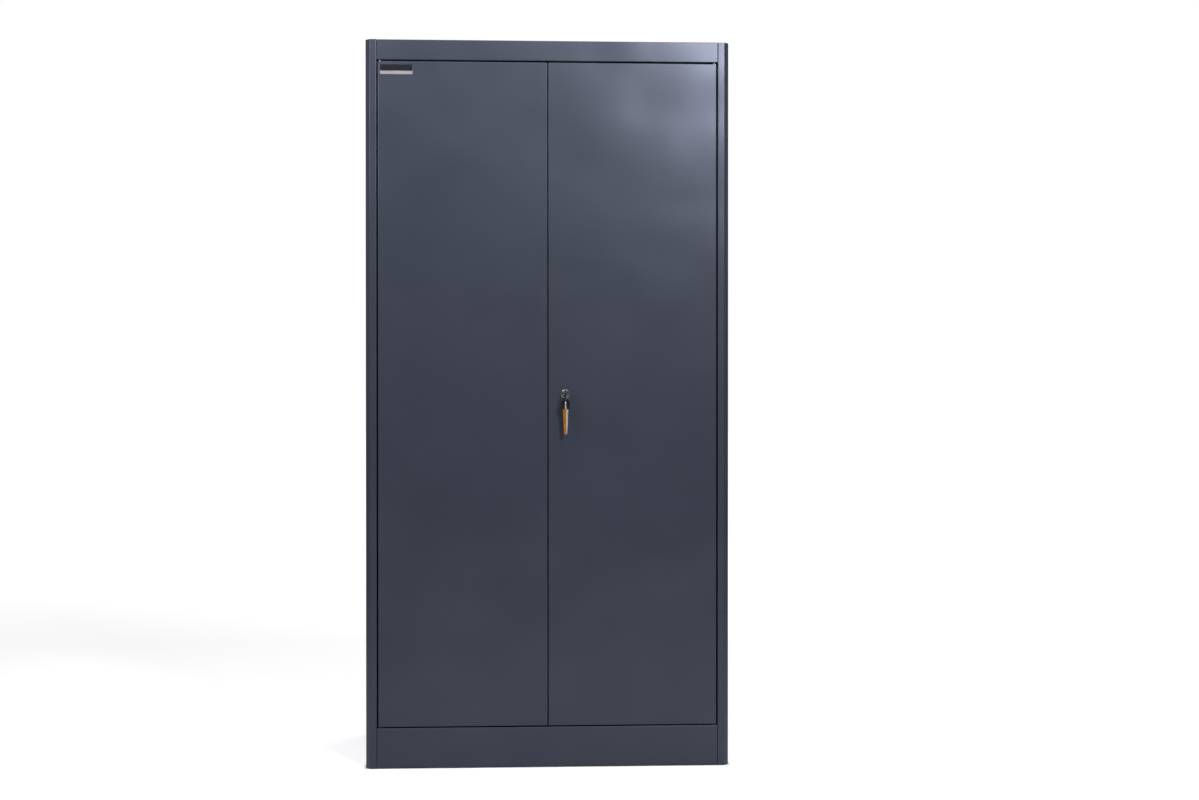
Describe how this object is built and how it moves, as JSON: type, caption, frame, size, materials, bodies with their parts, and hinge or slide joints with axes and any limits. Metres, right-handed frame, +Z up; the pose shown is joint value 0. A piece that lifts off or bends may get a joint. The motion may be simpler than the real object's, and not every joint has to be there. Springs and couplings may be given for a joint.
{
  "type": "storage cabinet",
  "caption": "Tall double-door steel storage cabinet with chamfered front posts, header and plinth, pivot-hung doors, adjustable shelves, cam lock with locking rods and keys on a split ring.",
  "frame": {"origin": "on the floor, in the middle of the outer box (the key in the lock is its foremost point)", "axes": "+Z up, -Y towards the viewer of the doors, +X to the viewer's right"},
  "size_m": [0.9, 0.4798, 1.8],
  "materials": {
    "powder_coat": "satin blue-grey polyester powder coat on folded sheet steel",
    "zinc_plate": "bright zinc plated steel",
    "nickel_chrome": "nickel and chrome plated die casting and wire",
    "brass": "milled brass key blade",
    "black_plastic": "moulded black plastic",
    "black_rubber": "moulded rubber"
  },
  "bodies": {
    "carcass": {"left_side_panel": "powder_coat", "right_side_panel": "powder_coat", "back_panel": "powder_coat", "top_panel": "powder_coat", "bottom_panel": "powder_coat", "shelf_1": "powder_coat", "shelf_2": "powder_coat", "shelf_3": "powder_coat", "shelf_4": "powder_coat", "shelf_1_left_front_clip": "zinc_plate", "shelf_1_left_rear_clip": "zinc_plate", "shelf_1_right_front_clip": "zinc_plate", "shelf_1_right_rear_clip": "zinc_plate", "shelf_2_left_front_clip": "zinc_plate", "shelf_2_left_rear_clip": "zinc_plate", "shelf_2_right_front_clip": "zinc_plate", "shelf_2_right_rear_clip": "zinc_plate", "shelf_3_left_front_clip": "zinc_plate", "shelf_3_left_rear_clip": "zinc_plate", "shelf_3_right_front_clip": "zinc_plate", "shelf_3_right_rear_clip": "zinc_plate", "shelf_4_left_front_clip": "zinc_plate", "shelf_4_left_rear_clip": "zinc_plate", "shelf_4_right_front_clip": "zinc_plate", "shelf_4_right_rear_clip": "zinc_plate", "left_front_glide": "black_plastic", "left_rear_glide": "black_plastic", "right_front_glide": "black_plastic", "right_rear_glide": "black_plastic", "left_upper_bush": "black_plastic", "left_lower_bush": "black_plastic", "right_upper_bush": "black_plastic", "right_lower_bush": "black_plastic", "left_upper_buffer": "black_rubber", "left_lower_buffer": "black_rubber", "right_upper_buffer": "black_rubber", "right_lower_buffer": "black_rubber"},
    "left_door": {"left_door": "powder_coat", "left_door_stiffener": "powder_coat", "left_door_upper_pin": "zinc_plate", "left_door_lower_pin": "zinc_plate"},
    "right_door": {"right_door": "powder_coat", "right_door_stiffener": "powder_coat", "right_door_upper_pin": "zinc_plate", "right_door_lower_pin": "zinc_plate", "lock_housing": "nickel_chrome", "lock_nut": "zinc_plate", "upper_rod_guide_1": "zinc_plate", "upper_rod_guide_2": "zinc_plate", "lower_rod_guide_1": "zinc_plate", "lower_rod_guide_2": "zinc_plate"},
    "lock_plug": {"lock_plug": "nickel_chrome", "lock_cam": "zinc_plate", "cam_screw": "zinc_plate"},
    "upper_rod": {"upper_rod": "zinc_plate"},
    "lower_rod": {"lower_rod": "zinc_plate"},
    "key": {"key": "nickel_chrome"},
    "split_ring": {"split_ring": "nickel_chrome"},
    "spare_key": {"spare_key": "brass", "spare_key_cover": "black_plastic"}
  },
  "joints": [
    {"name": "left_door_hinge", "type": "hinge", "parent": "carcass", "child": "left_door", "pos_m": [-0.4143, -0.2041, 0.925], "axis": [0, 0, -1], "range_deg": [0, 105]},
    {"name": "right_door_hinge", "type": "hinge", "parent": "carcass", "child": "right_door", "pos_m": [0.4143, -0.2041, 0.925], "axis": [0, 0, 1], "range_deg": [0, 105]},
    {"name": "lock_turn", "type": "hinge", "parent": "right_door", "child": "lock_plug", "pos_m": [0.043, -0.2101, 0.926], "axis": [0, -1, 0], "range_deg": [0, 90]},
    {"name": "upper_rod_slide", "type": "slide", "parent": "right_door", "child": "upper_rod", "axis": [0, 0, 1], "range_m": [0, 0.017]},
    {"name": "lower_rod_slide", "type": "slide", "parent": "right_door", "child": "lower_rod", "axis": [0, 0, -1], "range_m": [0, 0.017]},
    {"name": "key_pull", "type": "slide", "parent": "lock_plug", "child": "key", "axis": [0, -1, 0], "range_m": [0, 0.03]},
    {"name": "ring_swing", "type": "hinge", "parent": "key", "child": "split_ring", "pos_m": [0.043, -0.2319, 0.92444], "axis": [-1, 0, 0], "range_deg": [-8, 45]},
    {"name": "spare_key_slide", "type": "hinge", "parent": "split_ring", "child": "spare_key", "pos_m": [0.043, -0.2319, 0.91454], "axis": [0, -1, 0], "range_deg": [-90, 0]}
  ],
  "couplings": [
    {"joint": "upper_rod_slide", "follows": "lock_turn", "m_per_rad": 0.010804},
    {"joint": "lower_rod_slide", "follows": "lock_turn", "m_per_rad": 0.010804},
    {"joint": "spare_key_slide", "follows": "lock_turn", "ratio": -1}
  ]
}
